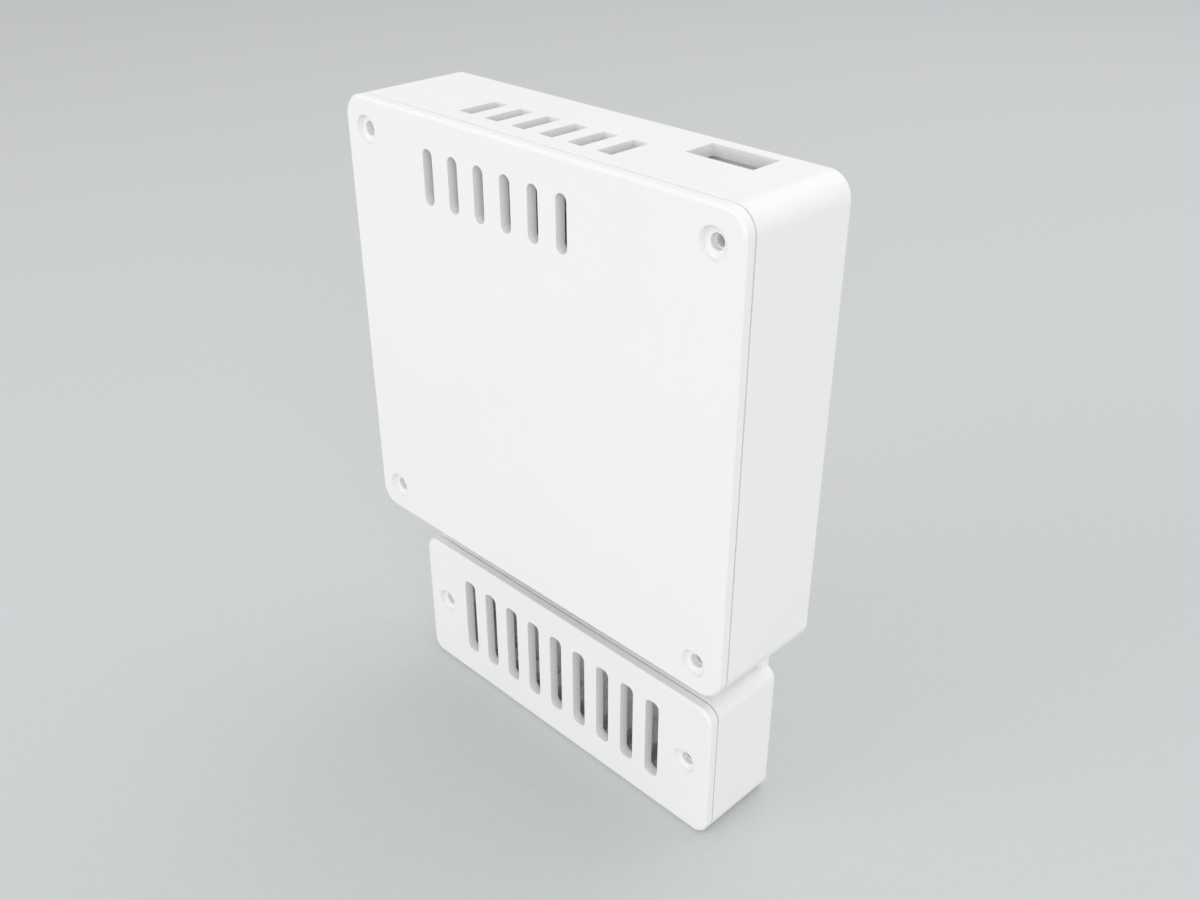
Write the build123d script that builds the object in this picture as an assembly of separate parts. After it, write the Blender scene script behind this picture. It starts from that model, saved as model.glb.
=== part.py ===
from build123d import *
import os

# A wall controller's case: a main tray and a small sensor tray below it, printed as one
# shell on a shared back wall, each closed by its own screwed cover. Sizes in millimetres.
# X runs across the front, Y from the covers to the wall behind, Z up. The origin is under
# the middle of the case, at half its depth, on the lower tray's underside.

# Case
main_width = 112.0
main_height = 104.0
main_depth = 29.3
main_corner = 5.0
lower_width = 98.0
lower_height = 36.7
lower_setback = 7.0
lower_corner = 3.5
gap_height = 11.5
bridge_width = 94.0
bridge_thickness = 2.5
wall = 2.5
cover_thickness = 2.5
edge_chamfer = 0.6
seam_gap = 0.4
seam_depth = 0.8
least_corner = 0.4

# Cover screws: counterbored holes over pilot holes in the shell's pillars
screw_inset = 7.0
lower_screw_height = 19.0
clearance_radius = 1.6
counterbore_radius = 3.1
counterbore_depth = 1.2
pilot_radius = 1.25
cover_pilot_depth = 12.0
pillar_radius = 4.0

# Air slots: round-ended in the main cover, square in its roof, soft-cornered in the lower cover
slot_pitch = 8.0
main_slot_count = 6
main_slot_width = 3.0
main_slot_length = 12.0
main_slot_x = -8.0
main_slot_drop = 13.0
roof_slot_count = 6
roof_slot_width = 4.0
roof_slot_length = 10.0
roof_slot_x = -4.0
roof_slot_from_front = 12.35
lower_slot_count = 9
lower_slot_width = 4.0
lower_slot_length = 22.0
lower_slot_corner = 1.5
floor_slot_width = 4.0
floor_slot_length = 10.0

# Cable entry in the roof, and the wire holes between the two trays
entry_width = 16.0
entry_depth = 8.0
entry_x = 34.15
entry_from_back = 6.95
wire_hole_width = 12.0
wire_hole_depth = 5.0
wire_hole_from_wall = 2.0

# Low rib in the middle of the lower tray's back corner
rib_width = 10.0
rib_depth = 1.1
rib_height = 2.7

# Boards, with the standoffs and screws that carry them
board_thickness = 1.6
board_corner = 2.0
board_width = 88.0
board_height = 76.0
board_floor_gap = 5.5
board_hole_inset = 5.0
board_standoff = 6.0
sensor_board_width = 34.0
sensor_board_height = 15.0
sensor_board_roof_gap = 2.2
sensor_hole_inset = 3.5
sensor_standoff = 4.0
standoff_radius = 3.5
board_hole_radius = 1.6
board_screw_length = 5.0
board_screw_clearance = 0.05
board_screw_head_radius = 2.8
board_screw_head_height = 1.9
board_screw_head_edge = 0.6
recess_width = 0.7
recess_length = 3.2
recess_depth = 1.0
pilot_spare = 0.5

# Terminal block on the board's upper edge
terminal_count = 6
terminal_pitch = 5.08
terminal_height = 8.2
terminal_depth = 10.0
terminal_slope = 2.0
terminal_mouth = 3.6
terminal_mouth_depth = 5.5
terminal_mouth_from_board = 3.6
terminal_well_radius = 1.9
terminal_well_depth = 4.0
terminal_screw_radius = 1.7
terminal_screw_height = 2.0
terminal_slit_width = 0.5
terminal_slit_depth = 0.8
clamp_thickness = 0.5
clamp_length = 4.5
clamp_fit = 0.1
terminal_side_gap = 1.2

# Relays and their diodes
relay_width = 15.5
relay_height = 19.1
relay_depth = 15.4
relay_gap = 3.0
relay_corner = 0.8
relay_edge = 0.4
diode_radius = 1.3
diode_length = 5.2
diode_gap = 2.0
lead_radius = 0.35
lead_reach = 1.6

# Supply: regulator on its heatsink, two capacitors and a fuse in its clips
heatsink_width = 20.0
heatsink_base = 2.0
heatsink_fin_length = 8.0
heatsink_fin_thickness = 1.0
heatsink_fin_count = 6
heatsink_depth = 15.0
heatsink_side_inset = 8.0
heatsink_top_inset = 9.0
regulator_width = 10.0
regulator_thickness = 4.4
regulator_length = 8.5
regulator_lift = 2.0
regulator_tab = 1.3
regulator_tab_length = 4.5
regulator_hole_radius = 1.6
regulator_lead_pitch = 2.54
regulator_head_radius = 2.1
regulator_head_height = 1.6
capacitor_radius = 4.0
capacitor_height = 11.5
capacitor_edge = 0.6
capacitor_spacing = 11.0
capacitor_gap = 2.0
fuse_radius = 2.5
fuse_length = 20.0
fuse_cap_length = 5.0
fuse_cap_rise = 0.1
fuse_gap = 3.0
fuse_drop = 16.0
clip_length = 4.0
clip_thickness = 0.5
clip_arm = 4.6
clip_fit = 0.05

# Logic: processor, crystal, resistors, backup cell and the two headers
processor_side = 10.0
processor_depth = 1.2
processor_edge = 0.2
processor_lead_count = 8
processor_lead_pitch = 0.8
processor_lead_width = 0.4
processor_lead_length = 1.0
processor_lead_depth = 0.25
processor_offset = 8.0
processor_gap = 8.6
crystal_length = 11.0
crystal_width = 4.6
crystal_depth = 3.5
crystal_corner = 2.2
crystal_edge = 0.45
crystal_gap = 3.0
resistor_length = 2.0
resistor_width = 1.25
resistor_depth = 0.55
resistor_pitch = 4.0
resistor_rows = 5
resistor_columns = 2
resistor_gap = 5.0
cell_radius = 10.0
cell_thickness = 3.2
cell_step = 0.65
cell_fit = 0.2
cell_lift = 1.2
holder_wall = 1.4
holder_side_inset = 8.0
holder_gap = 5.4
strap_width = 5.0
strap_thickness = 0.5
header_count = 4
header_pitch = 2.5
header_end = 2.45
header_height = 5.8
header_depth = 7.0
header_wall = 0.8
header_base = 1.8
pin_width = 0.64
pin_rise = 4.0
program_rows = 2
program_columns = 3
program_pitch = 2.54
program_base = 2.5
program_pin_rise = 6.0
program_side_inset = 14.0
program_edge_gap = 1.0

# Sensor on the small board
sensor_side = 4.0
sensor_depth = 1.3
sensor_port_radius = 0.7
sensor_port_depth = 0.6
sensor_edge_gap = 2.0

# How far pillars, standoffs and ribs run into the wall that carries them, and no further than
# the rounded corners let a square pillar corner reach
root = wall / 10

# The bridge runs deeper, because the lower tray's corners round away below its ends
bridge_root = wall / 2

# Planes that the pieces share
front_y = -main_depth / 2
back_y = main_depth / 2
inner_back_y = back_y - wall
main_rim_y = front_y + cover_thickness
lower_front_y = front_y + lower_setback
lower_rim_y = lower_front_y + cover_thickness
main_bottom_z = lower_height + gap_height
top_z = main_bottom_z + main_height

board_back_y = inner_back_y - board_standoff
board_front_y = board_back_y - board_thickness
board_bottom_z = main_bottom_z + wall + board_floor_gap
board_z = board_bottom_z + board_height / 2
board_top_z = board_bottom_z + board_height
sensor_board_back_y = inner_back_y - sensor_standoff
sensor_board_front_y = sensor_board_back_y - board_thickness
sensor_board_top_z = lower_height - wall - sensor_board_roof_gap
sensor_board_z = sensor_board_top_z - sensor_board_height / 2

board_holes = [
    (sx * (board_width / 2 - board_hole_inset), board_z + sz * (board_height / 2 - board_hole_inset))
    for sx in (-1, 1)
    for sz in (-1, 1)
]
sensor_board_holes = [
    (side * (sensor_board_width / 2 - sensor_hole_inset), sensor_board_z) for side in (-1, 1)
]
main_screws = [
    (sx * (main_width / 2 - screw_inset), z)
    for sx in (-1, 1)
    for z in (main_bottom_z + screw_inset, top_z - screw_inset)
]
lower_screws = [(side * (lower_width / 2 - screw_inset), lower_screw_height) for side in (-1, 1)]


def row(count, pitch, centre=0.0):
    """Places of count items in a row, pitch apart, about the centre."""
    return [centre + (i - (count - 1) / 2) * pitch for i in range(count)]


def brick(width, near_y, far_y, bottom, top, x=0.0):
    """A block width wide about x, given by its faces in Y and Z."""
    return Pos(x, (near_y + far_y) / 2, (bottom + top) / 2) * Box(width, far_y - near_y, top - bottom)


def slab(width, height, near_y, far_y, bottom_z, corner):
    """A block standing on bottom_z, centred in X, with its four edges along Y rounded."""
    plate = brick(width, near_y, far_y, bottom_z, bottom_z + height)
    return fillet(plate.edges().filter_by(Axis.Y), corner)


def near_edges(solid):
    """The edges round a solid's face that is nearest to the viewer in front."""
    return solid.faces().sort_by(Axis.Y)[0].edges()


def far_edges(solid):
    """The edges round a solid's face that is nearest to the wall behind."""
    return solid.faces().sort_by(Axis.Y)[-1].edges()


def along_y(sketch, near_y, far_y):
    """A sketch drawn as seen from the front, carried from near_y to far_y."""
    return Pos(0, far_y, 0) * extrude(Plane.XZ * sketch, far_y - near_y)


def rod(radius, near_y, far_y, x, z):
    """A round bar along Y."""
    return along_y(Pos(x, z) * Circle(radius), near_y, far_y)


def tray(width, height, rim_y, bottom_z, corner):
    """An open tray with its floor on the back wall and its mouth at rim_y.

    Outside its mouth it stands back from the cover by a narrow gap, which draws the seam's line.
    """
    outside = slab(width, height, rim_y + seam_gap, back_y, bottom_z, corner)
    rim = slab(width - 2 * seam_depth, height - 2 * seam_depth, rim_y, back_y, bottom_z + seam_depth,
               corner - seam_depth)
    hollow = slab(width - 2 * wall, height - 2 * wall, rim_y, inner_back_y, bottom_z + wall,
                  max(corner - wall, least_corner))
    return outside + rim - hollow


def main_pillars():
    """Corner pillars of the main tray, run into its side, roof and floor walls."""
    solids = []
    for x, z in main_screws:
        side = 1 if x > 0 else -1
        up = 1 if z > board_z else -1
        reach = screw_inset - wall + root
        corner_block = Pos(x + side * reach / 2, z + up * reach / 2) * Rectangle(reach, reach)
        to_side = Pos(x + side * reach / 2, z) * Rectangle(reach, 2 * pillar_radius)
        to_roof = Pos(x, z + up * reach / 2) * Rectangle(2 * pillar_radius, reach)
        outline = Pos(x, z) * Circle(pillar_radius) + corner_block + to_side + to_roof
        solids.append(along_y(outline, main_rim_y, inner_back_y + root))
    return solids


def lower_pillars():
    """Side pillars of the lower tray, run into its side walls."""
    solids = []
    for x, z in lower_screws:
        side = 1 if x > 0 else -1
        reach = screw_inset - wall + root
        to_side = Pos(x + side * reach / 2, z) * Rectangle(reach, 2 * pillar_radius)
        outline = Pos(x, z) * Circle(pillar_radius) + to_side
        solids.append(along_y(outline, lower_rim_y, inner_back_y + root))
    return solids


def standoffs():
    """Round standoffs that carry the two boards off the back wall."""
    main = [rod(standoff_radius, board_back_y, inner_back_y + root, x, z) for x, z in board_holes]
    small = [
        rod(standoff_radius, sensor_board_back_y, inner_back_y + root, x, z)
        for x, z in sensor_board_holes
    ]
    return main + small


def pilot_holes():
    """Blind holes for the cover screws and the board screws."""
    cuts = [rod(pilot_radius, main_rim_y, main_rim_y + cover_pilot_depth, x, z) for x, z in main_screws]
    cuts += [
        rod(pilot_radius, lower_rim_y, lower_rim_y + cover_pilot_depth, x, z) for x, z in lower_screws
    ]
    grip = board_screw_length - board_thickness + pilot_spare
    cuts += [rod(pilot_radius, board_back_y, board_back_y + grip, x, z) for x, z in board_holes]
    cuts += [
        rod(pilot_radius, sensor_board_back_y, sensor_board_back_y + grip, x, z)
        for x, z in sensor_board_holes
    ]
    return cuts


def roof_cuts():
    """Square air slots and the cable entry through the main tray's roof."""
    middle_z = top_z - wall / 2
    cuts = [
        Pos(x, front_y + roof_slot_from_front, middle_z) * Box(roof_slot_width, roof_slot_length, 2 * wall)
        for x in row(roof_slot_count, slot_pitch, roof_slot_x)
    ]
    cuts.append(Pos(entry_x, back_y - entry_from_back, middle_z) * Box(entry_width, entry_depth, 2 * wall))
    return cuts


def floor_cuts():
    """Square air slots through the lower tray's floor, one under each slot of its cover."""
    middle_y = (lower_rim_y + inner_back_y) / 2
    return [
        Pos(x, middle_y, wall / 2) * Box(floor_slot_width, floor_slot_length, 2 * wall)
        for x in row(lower_slot_count, slot_pitch)
    ]


def wire_cuts():
    """Wire holes in line through the main tray's floor and the lower tray's roof."""
    y = inner_back_y - wire_hole_from_wall - wire_hole_depth / 2
    return [
        Pos(0, y, z) * Box(wire_hole_width, wire_hole_depth, 2 * wall)
        for z in (main_bottom_z + wall / 2, lower_height - wall / 2)
    ]


def rear_shell():
    """Both trays, the bridge between them, and all that is printed inside them."""
    bridge = brick(bridge_width, back_y - bridge_thickness, back_y,
                   lower_height - bridge_root, main_bottom_z + bridge_root)
    rib = brick(rib_width, inner_back_y - rib_depth, inner_back_y + root, wall - root, wall + rib_height)
    shell = tray(main_width, main_height, main_rim_y, main_bottom_z, main_corner)
    shell = shell + tray(lower_width, lower_height, lower_rim_y, 0, lower_corner) + bridge
    shell = shell + main_pillars() + lower_pillars() + standoffs() + rib
    return shell - (pilot_holes() + roof_cuts() + floor_cuts() + wire_cuts())


def cover(width, height, near_y, bottom_z, corner, screws):
    """A flat cover with a chamfered front edge and counterbored screw holes."""
    plate = slab(width, height, near_y, near_y + cover_thickness, bottom_z, corner)
    plate = chamfer(near_edges(plate), edge_chamfer)
    cuts = []
    for x, z in screws:
        cuts.append(rod(clearance_radius, near_y, near_y + cover_thickness, x, z))
        cuts.append(rod(counterbore_radius, near_y, near_y + counterbore_depth, x, z))
    return plate - cuts


def main_cover():
    """The large cover, with six round-ended air slots near its top."""
    plate = cover(main_width, main_height, front_y, main_bottom_z, main_corner, main_screws)
    slots = [
        along_y(
            Pos(x, top_z - main_slot_drop) * SlotOverall(main_slot_length, main_slot_width, 90),
            front_y, main_rim_y,
        )
        for x in row(main_slot_count, slot_pitch, main_slot_x)
    ]
    return plate - slots


def lower_cover():
    """The small cover, with nine soft-cornered air slots on the line of its screws."""
    plate = cover(lower_width, lower_height, lower_front_y, 0, lower_corner, lower_screws)
    outline = RectangleRounded(lower_slot_width, lower_slot_length, lower_slot_corner)
    slots = [
        along_y(Pos(x, lower_screw_height) * outline, lower_front_y, lower_rim_y)
        for x in row(lower_slot_count, slot_pitch)
    ]
    return plate - slots


def board(width, height, near_y, middle_z, holes):
    """A circuit board with its mounting holes."""
    plate = slab(width, height, near_y, near_y + board_thickness, middle_z - height / 2, board_corner)
    return plate - [rod(board_hole_radius, near_y, near_y + board_thickness, x, z) for x, z in holes]


def board_screws(near_y, holes):
    """Pan-head screws with a cross recess, one through each hole of a board."""
    shank = rod(pilot_radius - board_screw_clearance, 0, board_screw_length, 0, 0)
    head = rod(board_screw_head_radius, -board_screw_head_height, 0, 0, 0)
    head = fillet(near_edges(head), board_screw_head_edge)
    screw = head + shank
    recess_y = -board_screw_head_height + recess_depth / 2
    screw -= Pos(0, recess_y, 0) * Box(recess_length, recess_depth, recess_width)
    screw -= Pos(0, recess_y, 0) * Box(recess_width, recess_depth, recess_length)
    return [Pos(x, near_y, z) * screw for x, z in holes]


def on_board(x, z, near_y=board_front_y):
    """A place on a board's front face. Pieces there rise from y = 0 towards the covers."""
    return Pos(x, near_y, z)


def block(width, height, depth, lift=0.0):
    """A block standing off a board's face, width along X and height along Z."""
    return Pos(0, -lift - depth / 2, 0) * Box(width, depth, height)


terminal_width = terminal_count * terminal_pitch
terminal_right = board_width / 2 - board_hole_inset - board_screw_head_radius - terminal_side_gap
terminal_x = terminal_right - terminal_width / 2
terminal_z = board_top_z - terminal_height / 2


def terminal_body():
    """Terminal housing: a mouth for each wire on top, a screw well for each on the front."""
    half = terminal_height / 2
    profile = Polyline(
        (0, -half), (0, half), (-terminal_depth + terminal_slope, half),
        (-terminal_depth, half - terminal_slope), (-terminal_depth, -half), close=True,
    )
    body = extrude(Plane.YZ * make_face(profile), terminal_width)
    body = Pos(terminal_x - terminal_width / 2, board_front_y, terminal_z) * body
    cuts = []
    for x in row(terminal_count, terminal_pitch, terminal_x):
        mouth = Box(terminal_mouth, terminal_mouth, terminal_mouth_depth)
        cuts.append(
            on_board(x, board_top_z - terminal_mouth_depth / 2)
            * Pos(0, -terminal_mouth_from_board - terminal_mouth / 2, 0) * mouth
        )
        cuts.append(
            rod(terminal_well_radius, board_front_y - terminal_depth,
                board_front_y - terminal_depth + terminal_well_depth, x, terminal_z)
        )
    return body - cuts


def terminal_clamps():
    """A metal cage on the floor of each mouth, open towards the wire."""
    outer = terminal_mouth - 2 * clamp_fit
    inner = outer - 2 * clamp_thickness
    cage = Box(outer, outer, clamp_length) - Box(inner, inner, clamp_length)
    z = board_top_z - terminal_mouth_depth + clamp_length / 2
    y = -terminal_mouth_from_board - terminal_mouth / 2
    return [on_board(x, z) * Pos(0, y, 0) * cage for x in row(terminal_count, terminal_pitch, terminal_x)]


def terminal_screws():
    """A slotted screw in each well, down on its clamp."""
    far_y = board_front_y - terminal_mouth_from_board - terminal_mouth + clamp_fit
    near_y = far_y - terminal_screw_height
    slit = Box(2 * terminal_screw_radius, terminal_slit_depth, terminal_slit_width)
    solids = []
    for x in row(terminal_count, terminal_pitch, terminal_x):
        screw = rod(terminal_screw_radius, near_y, far_y, x, terminal_z)
        solids.append(screw - Pos(x, near_y + terminal_slit_depth / 2, terminal_z) * slit)
    return solids


relay_z = board_top_z - terminal_height - relay_gap - relay_height / 2
relay_places = row(2, relay_width + relay_gap, terminal_x)
diode_z = relay_z - relay_height / 2 - diode_gap - diode_radius


def relay(x):
    """A sealed relay case with rounded edges."""
    case = block(relay_width, relay_height, relay_depth)
    case = fillet(case.edges().filter_by(Axis.Y), relay_corner)
    case = fillet(near_edges(case), relay_edge)
    return on_board(x, relay_z) * case


def relay_diodes():
    """A diode under each relay, with its two leads bent down to the board."""
    solids = []
    for x in relay_places:
        body = Pos(0, -diode_radius, 0) * Rot(0, 90, 0) * Cylinder(diode_radius, diode_length)
        reach = diode_length / 2 + lead_reach
        wire = Pos(0, -diode_radius, 0) * Rot(0, 90, 0) * Cylinder(lead_radius, 2 * reach)
        drop = diode_radius
        legs = [Pos(side * (reach - lead_radius), -drop / 2, 0) * Rot(90, 0, 0) * Cylinder(lead_radius, drop)
                for side in (-1, 1)]
        solids.append(on_board(x, diode_z) * (body + wire + legs))
    return solids


heatsink_x = -board_width / 2 + heatsink_side_inset + heatsink_width / 2
heatsink_top_z = board_top_z - heatsink_top_inset
heatsink_base_z = heatsink_top_z - heatsink_fin_length - heatsink_base
regulator_y = -regulator_lift - regulator_length
tab_hole_y = regulator_y - regulator_tab_length / 2


def heatsink():
    """An extruded comb: a base plate with fins that point up."""
    outline = Pos(0, heatsink_base / 2) * Rectangle(heatsink_width, heatsink_base)
    pitch = (heatsink_width - heatsink_fin_thickness) / (heatsink_fin_count - 1)
    for x in row(heatsink_fin_count, pitch):
        outline += Pos(x, heatsink_base / 2 + (heatsink_fin_length + heatsink_base / 2) / 2) * Rectangle(
            heatsink_fin_thickness, heatsink_fin_length + heatsink_base / 2
        )
    comb = along_y(outline, -heatsink_depth, 0)
    comb -= Pos(0, tab_hole_y, heatsink_base / 2) * Cylinder(pilot_radius, 2 * heatsink_base)
    return on_board(heatsink_x, heatsink_base_z) * comb


def regulator():
    """A three-legged regulator whose tab lies against the heatsink's base."""
    body = Pos(0, -regulator_lift - regulator_length / 2, -regulator_thickness / 2) * Box(
        regulator_width, regulator_length, regulator_thickness
    )
    tab = Pos(0, tab_hole_y, -regulator_tab / 2) * Box(regulator_width, regulator_tab_length, regulator_tab)
    tab -= Pos(0, tab_hole_y, 0) * Cylinder(regulator_hole_radius, 4 * regulator_tab)
    legs = [
        rod(lead_radius, -regulator_lift, 0, x, -regulator_thickness / 2)
        for x in row(3, regulator_lead_pitch)
    ]
    return on_board(heatsink_x, heatsink_base_z) * (body + tab + legs)


def regulator_screw():
    """The screw that holds the regulator's tab to the heatsink."""
    grip = regulator_tab + heatsink_base
    shank = Pos(0, 0, grip / 2) * Cylinder(pilot_radius - board_screw_clearance, grip)
    head = Pos(0, 0, -regulator_head_height / 2) * Cylinder(regulator_head_radius, regulator_head_height)
    slit = Pos(0, 0, -regulator_head_height) * Box(2 * regulator_head_radius, recess_width, recess_depth)
    return on_board(heatsink_x, heatsink_base_z - regulator_tab) * Pos(0, tab_hole_y, 0) * (head + shank - slit)


capacitor_z = heatsink_base_z - regulator_thickness - capacitor_gap - capacitor_radius


def supply_capacitors():
    """Two upright can capacitors."""
    can = rod(capacitor_radius, -capacitor_height, 0, 0, 0)
    can = fillet(near_edges(can), capacitor_edge)
    return [on_board(x, capacitor_z) * can for x in row(2, capacitor_spacing, heatsink_x)]


cap_radius = fuse_radius + fuse_cap_rise
clip_inside = 2 * (cap_radius + clip_fit)
clip_width = clip_inside + 2 * clip_thickness
fuse_x = relay_places[0] - relay_width / 2 - fuse_gap - clip_width / 2
fuse_y = -clip_thickness - clip_fit - cap_radius
fuse_z = board_top_z - fuse_drop


def fuse_tube():
    """The fuse's tube, between its two end caps."""
    tube = Pos(0, fuse_y, 0) * Cylinder(fuse_radius, fuse_length - 2 * fuse_cap_length)
    return on_board(fuse_x, fuse_z) * tube


def fuse_caps():
    """The fuse's metal end caps."""
    offset = (fuse_length - fuse_cap_length) / 2
    return [on_board(fuse_x, fuse_z + side * offset) * Pos(0, fuse_y, 0) * Cylinder(cap_radius, fuse_cap_length)
            for side in (-1, 1)]


def fuse_clips():
    """A sprung clip round each end cap."""
    clip = Pos(0, -clip_arm / 2, 0) * Box(clip_width, clip_arm, clip_length)
    clip -= Pos(0, -clip_thickness - clip_arm / 2, 0) * Box(clip_inside, clip_arm, clip_length)
    offset = (fuse_length - fuse_cap_length) / 2
    return [on_board(fuse_x, fuse_z + side * offset) * clip for side in (-1, 1)]


processor_x = heatsink_x + processor_offset
processor_z = capacitor_z - capacitor_radius - processor_gap - processor_lead_length - processor_side / 2
crystal_z = processor_z - processor_side / 2 - processor_lead_length - crystal_gap - crystal_width / 2


def processor():
    """The processor's moulded body."""
    body = block(processor_side, processor_side, processor_depth)
    body = chamfer(near_edges(body), processor_edge)
    return on_board(processor_x, processor_z) * body


def processor_leads():
    """The processor's flat leads, eight to a side."""
    reach = processor_side / 2 + processor_lead_length / 2
    solids = []
    for offset in row(processor_lead_count, processor_lead_pitch):
        for side in (-1, 1):
            beside = Pos(side * reach, 0, offset) * block(
                processor_lead_length, processor_lead_width, processor_lead_depth
            )
            above = Pos(offset, 0, side * reach) * block(
                processor_lead_width, processor_lead_length, processor_lead_depth
            )
            solids += [on_board(processor_x, processor_z) * lead for lead in (beside, above)]
    return solids


def crystal():
    """The oval can of the clock crystal."""
    can = slab(crystal_length, crystal_width, -crystal_depth, 0, -crystal_width / 2, crystal_corner)
    can = fillet(near_edges(can), crystal_edge)
    return on_board(processor_x, crystal_z) * can


def chip_resistors():
    """Rows of chip resistors to the left of the processor."""
    right = processor_x - processor_side / 2 - processor_lead_length - resistor_gap
    return [
        on_board(right - column * resistor_pitch, z) * block(resistor_length, resistor_width, resistor_depth)
        for column in range(resistor_columns)
        for z in row(resistor_rows, resistor_pitch, processor_z)
    ]


holder_radius = cell_radius + cell_fit + holder_wall
holder_x = board_width / 2 - holder_side_inset - holder_radius
holder_z = diode_z - diode_radius - holder_gap - holder_radius
cell_far_y = -cell_lift
cell_near_y = cell_far_y - cell_thickness


def cell_holder():
    """A round holder with a floor under the cell."""
    cup = rod(holder_radius, cell_near_y, 0, 0, 0) - rod(cell_radius + cell_fit, cell_near_y, cell_far_y, 0, 0)
    return on_board(holder_x, holder_z) * cup


def backup_cell():
    """The coin cell, with the step round its smaller face."""
    cell = rod(cell_radius, cell_near_y, cell_far_y, 0, 0)
    return on_board(holder_x, holder_z) * chamfer(far_edges(cell), cell_step)


def cell_strap():
    """The strap across the cell, resting on the cell and on the holder's rim."""
    strap = Pos(0, cell_near_y - strap_thickness / 2, 0) * Box(
        2 * holder_radius - holder_wall, strap_thickness, strap_width
    )
    return on_board(holder_x, holder_z) * strap


header_width = 2 * header_end + (header_count - 1) * header_pitch
main_header_z = board_bottom_z + header_height / 2
sensor_header_z = sensor_board_top_z - header_height / 2


def header(z, near_y):
    """A shrouded header, open towards the covers."""
    shroud = block(header_width, header_height, header_depth)
    hollow = block(header_width - 2 * header_wall, header_height - 2 * header_wall, header_depth, header_base)
    return on_board(0, z, near_y) * (shroud - hollow)


def header_pins(z, near_y):
    """The header's square pins, standing on its base."""
    return [
        on_board(x, z, near_y) * block(pin_width, pin_width, pin_rise, header_base)
        for x in row(header_count, header_pitch)
    ]


program_x = -board_width / 2 + program_side_inset + program_columns * program_pitch / 2
program_z = board_bottom_z + program_edge_gap + program_rows * program_pitch / 2


def program_header():
    """The plastic base of the programming header."""
    base = block(program_columns * program_pitch, program_rows * program_pitch, program_base)
    return on_board(program_x, program_z) * base


def program_pins():
    """The programming header's square pins."""
    return [
        on_board(x, z) * block(pin_width, pin_width, program_pin_rise, program_base)
        for x in row(program_columns, program_pitch, program_x)
        for z in row(program_rows, program_pitch, program_z)
    ]


def air_sensor():
    """The temperature and humidity sensor, with its small air port."""
    body = block(sensor_side, sensor_side, sensor_depth)
    body -= rod(sensor_port_radius, -sensor_depth, -sensor_depth + sensor_port_depth, 0, 0)
    z = sensor_board_top_z - sensor_board_height + sensor_edge_gap + sensor_side / 2
    return on_board(0, z, sensor_board_front_y) * body


nodes = {
    "rear_shell": rear_shell(),
    "main_cover": main_cover(),
    "lower_cover": lower_cover(),
    "controller_board": board(board_width, board_height, board_front_y, board_z, board_holes),
    "board_screws": board_screws(board_front_y, board_holes),
    "terminal_body": terminal_body(),
    "terminal_clamps": terminal_clamps(),
    "terminal_screws": terminal_screws(),
    "relay_left": relay(relay_places[0]),
    "relay_right": relay(relay_places[1]),
    "relay_diodes": relay_diodes(),
    "heatsink": heatsink(),
    "regulator": regulator(),
    "regulator_screw": regulator_screw(),
    "supply_capacitors": supply_capacitors(),
    "fuse_tube": fuse_tube(),
    "fuse_caps": fuse_caps(),
    "fuse_clips": fuse_clips(),
    "processor": processor(),
    "processor_leads": processor_leads(),
    "crystal": crystal(),
    "chip_resistors": chip_resistors(),
    "cell_holder": cell_holder(),
    "backup_cell": backup_cell(),
    "cell_strap": cell_strap(),
    "main_header": header(main_header_z, board_front_y),
    "main_header_pins": header_pins(main_header_z, board_front_y),
    "program_header": program_header(),
    "program_pins": program_pins(),
    "sensor_board": board(
        sensor_board_width, sensor_board_height, sensor_board_front_y, sensor_board_z, sensor_board_holes
    ),
    "sensor_board_screws": board_screws(sensor_board_front_y, sensor_board_holes),
    "sensor_header": header(sensor_header_z, sensor_board_front_y),
    "sensor_header_pins": header_pins(sensor_header_z, sensor_board_front_y),
    "air_sensor": air_sensor(),
}

os.makedirs("parts", exist_ok=True)
for name, shape in nodes.items():
    solids = shape if isinstance(shape, list) else [shape]
    export_step(Compound(children=[solid for item in solids for solid in item.solids()]), f"parts/{name}.step")
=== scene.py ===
"""A wall controller's case in white satin plastic, lit as in a small studio.

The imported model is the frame: its nodes give each piece its place. Lengths in this script are
millimetres and are turned to metres where they meet Blender. X runs across the front, Y from the
covers to the wall behind, and Z up from the lower case's underside.
"""
import logging
import math
from abc import ABC, abstractmethod
from contextlib import contextmanager
from dataclasses import dataclass
from enum import Enum
from typing import Callable, Iterator, Self, Sequence

import bmesh
import bpy
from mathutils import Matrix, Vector


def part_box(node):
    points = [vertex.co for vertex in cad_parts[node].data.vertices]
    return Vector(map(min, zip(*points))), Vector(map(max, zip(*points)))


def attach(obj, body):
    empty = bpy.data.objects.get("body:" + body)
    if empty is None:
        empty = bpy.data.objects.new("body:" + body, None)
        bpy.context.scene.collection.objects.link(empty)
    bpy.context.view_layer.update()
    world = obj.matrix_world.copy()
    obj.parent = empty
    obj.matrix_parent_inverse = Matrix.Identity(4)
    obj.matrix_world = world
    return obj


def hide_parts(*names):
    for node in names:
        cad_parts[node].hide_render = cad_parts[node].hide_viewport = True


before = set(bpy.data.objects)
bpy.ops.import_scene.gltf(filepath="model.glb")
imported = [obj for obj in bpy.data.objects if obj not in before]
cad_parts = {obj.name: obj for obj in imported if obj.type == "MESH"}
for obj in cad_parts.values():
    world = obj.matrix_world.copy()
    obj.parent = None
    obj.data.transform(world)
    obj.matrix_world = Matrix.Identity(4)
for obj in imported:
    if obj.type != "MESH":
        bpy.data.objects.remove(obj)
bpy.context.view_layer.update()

log = logging.getLogger("controller_case")

MM = 0.001

# Millimetres: how near a place counts as met, how far a cutter passes its wall, what is merged,
# and the decimals of a corner's and of a screw's place
TOUCH = 0.01
OVERSHOOT = 1.0
MERGE = 0.002
CORNER_DECIMALS = 4
SCREW_DECIMALS = 2

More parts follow.
